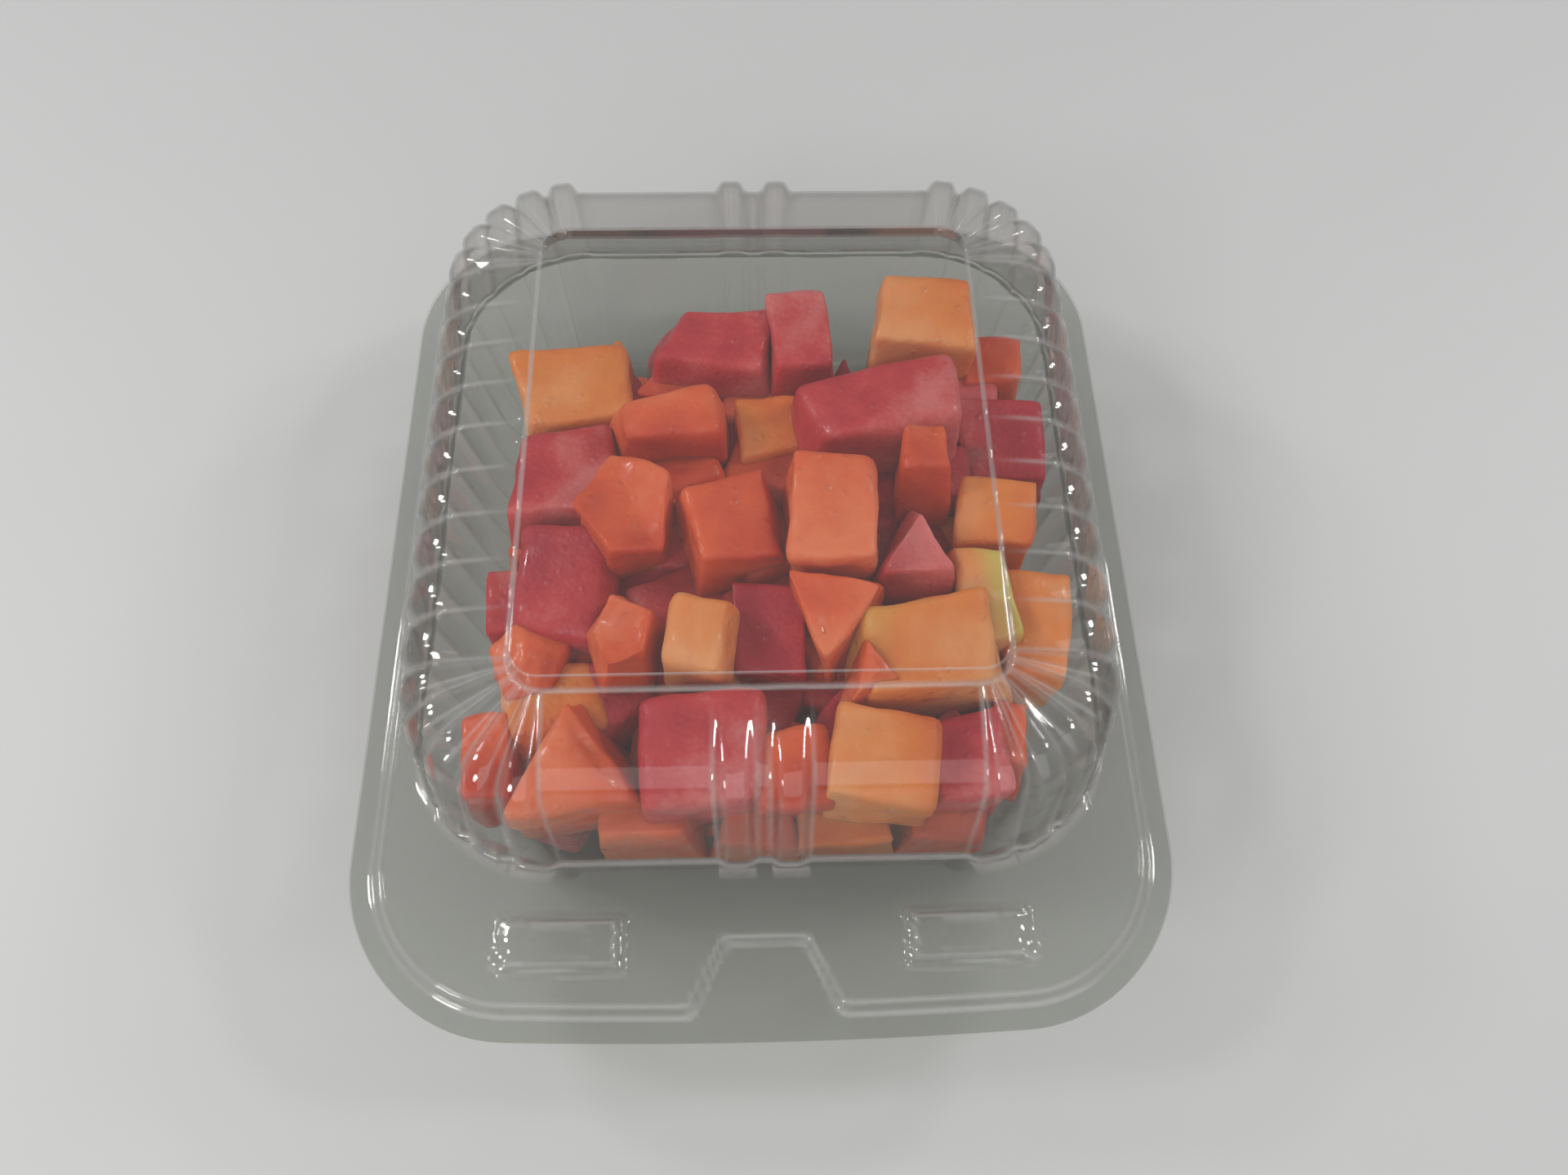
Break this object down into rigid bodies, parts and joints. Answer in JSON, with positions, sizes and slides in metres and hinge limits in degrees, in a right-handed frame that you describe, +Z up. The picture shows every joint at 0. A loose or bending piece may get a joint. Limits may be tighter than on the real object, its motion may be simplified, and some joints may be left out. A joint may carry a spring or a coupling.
{
  "type": "fruit salad in a clear hinged clamshell",
  "caption": "Fruit salad of melon, papaya and watermelon chunks in a shut, clear clamshell with a fluted domed lid and a wide front flange.",
  "frame": {"origin": "bottom centre of the pack's box, on the surface it stands on", "axes": "+X to the right, -Y the front with the thumb recess and lock buttons, +Y the hinged back, +Z up"},
  "size_m": [0.19, 0.23, 0.0861],
  "materials": {
    "lid_plastic": "clear thin formed sheet, glossy",
    "tub_plastic": "clear thin formed sheet, glossy",
    "papaya": "wet cut papaya, orange",
    "melon": "wet cut orange melon",
    "watermelon": "wet cut watermelon, red"
  },
  "bodies": {
    "tray": {"tub": "tub_plastic", "fruit_heap": "papaya"},
    "lid": {"lid": "lid_plastic"}
  },
  "joints": [
    {"name": "lid_hinge", "type": "hinge", "parent": "tray", "child": "lid", "pos_m": [0, 0.1138, 0.04015], "axis": [-1, 0, 0], "range_deg": [0, 170]}
  ]
}
